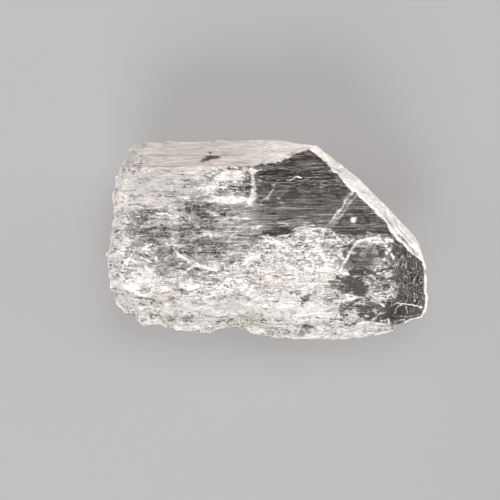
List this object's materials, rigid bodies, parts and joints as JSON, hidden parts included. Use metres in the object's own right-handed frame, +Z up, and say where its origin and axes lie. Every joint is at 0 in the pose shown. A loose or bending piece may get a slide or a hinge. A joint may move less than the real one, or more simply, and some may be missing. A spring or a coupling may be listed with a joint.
{
  "type": "danburite crystal",
  "caption": "Raw prismatic danburite crystal lying flat: striated faces, one chisel-shaped end, one broken end, clear with a milky lower half.",
  "frame": {"origin": "centre of the bounding box's bottom, on the surface the crystal lies on", "axes": "+X along the crystal to its chisel end, +Y to its straight back edge, +Z up from the face it lies on"},
  "size_m": [0.046, 0.0286, 0.014],
  "materials": {
    "clear_danburite": "natural glassy crystal faces with fine lengthwise striations, satin where growth lines are dense, milky where the crystal is full of fine cracks"
  },
  "bodies": {
    "root": {"danburite_crystal": "clear_danburite"}
  },
  "joints": []
}
